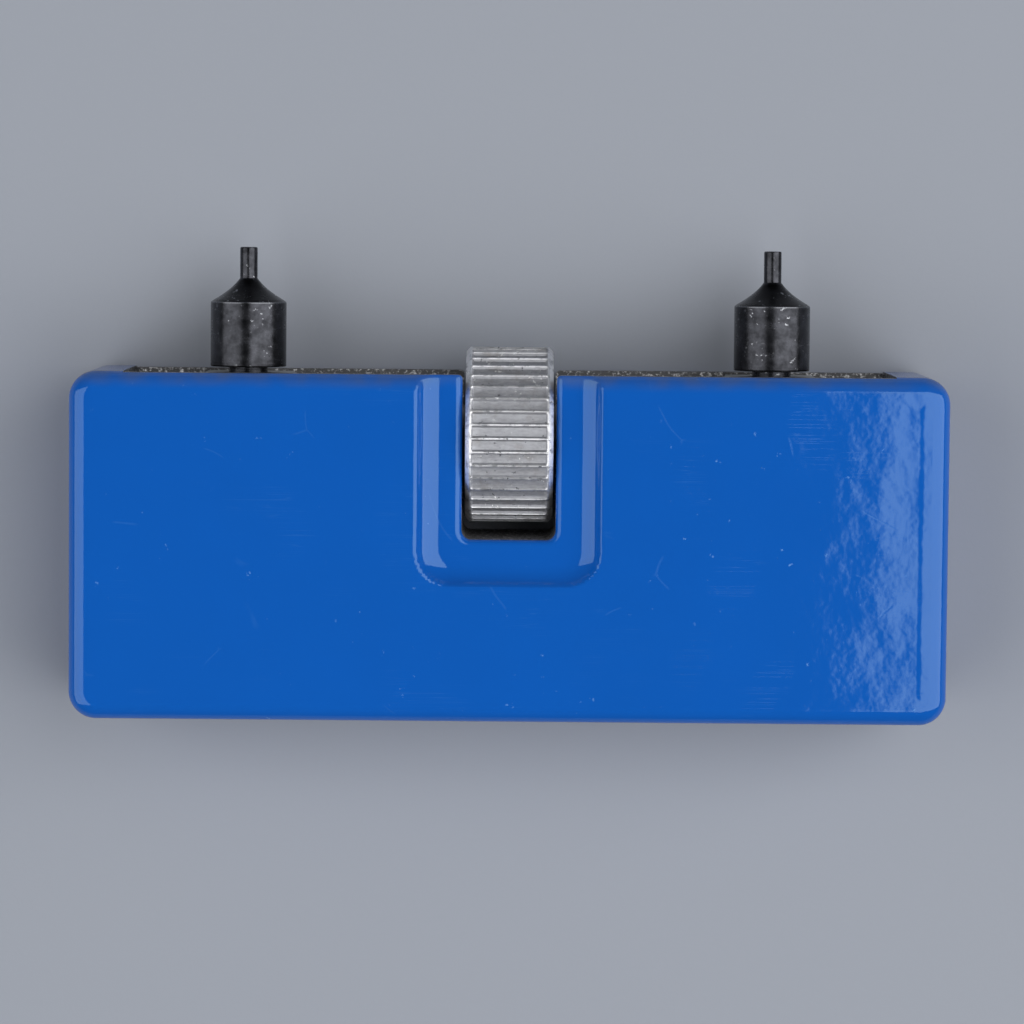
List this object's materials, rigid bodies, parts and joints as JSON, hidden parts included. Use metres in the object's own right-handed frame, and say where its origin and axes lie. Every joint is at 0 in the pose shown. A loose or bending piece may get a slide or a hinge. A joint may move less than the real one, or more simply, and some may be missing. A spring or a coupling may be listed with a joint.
{
  "type": "case back opener",
  "caption": "Pocket case back opener: a block with a thumb wheel whose two-handed screw moves a pair of pin tips apart and together.",
  "frame": {"origin": "bottom centre of the whole tool as it lies on its back face: the middle of its length and of its height with the tips, at the back face", "axes": "+X along the length, towards the right-hand tip; +Y from the grip edge towards the tips; +Z out of the front face"},
  "size_m": [0.063, 0.0338, 0.013],
  "materials": {
    "blue_enamel": "gloss stoved enamel over die-cast aluminium, bare where it is milled",
    "screw_steel": "rolled thread, oiled",
    "knurled_alloy": "straight knurl, as machined",
    "nut_steel": "milled, oiled",
    "black_oxide_steel": "turned, hardened and blackened",
    "pin_steel": "ground"
  },
  "bodies": {
    "block": {"housing": "blue_enamel", "pivot_pin_left": "pin_steel", "pivot_pin_right": "pin_steel"},
    "screw": {"lead_screw": "screw_steel", "thumb_wheel": "knurled_alloy"},
    "slider_left": {"slider_nut_left": "nut_steel", "pin_tip_left": "black_oxide_steel"},
    "slider_right": {"slider_nut_right": "nut_steel", "pin_tip_right": "black_oxide_steel"}
  },
  "joints": [
    {"name": "screw_turn", "type": "hinge", "parent": "block", "child": "screw", "pos_m": [0, 0.00347, 0.0065], "axis": [1, 0, 0], "range_deg": [-5400, 2160]},
    {"name": "left_slide", "type": "slide", "parent": "block", "child": "slider_left", "axis": [-1, 0, 0], "range_m": [-0.012, 0.0048]},
    {"name": "right_slide", "type": "slide", "parent": "block", "child": "slider_right", "axis": [1, 0, 0], "range_m": [-0.012, 0.0048]}
  ],
  "couplings": [
    {"joint": "screw_turn", "follows": "left_slide", "rad_per_m": 7854},
    {"joint": "right_slide", "follows": "left_slide", "ratio": 1}
  ]
}
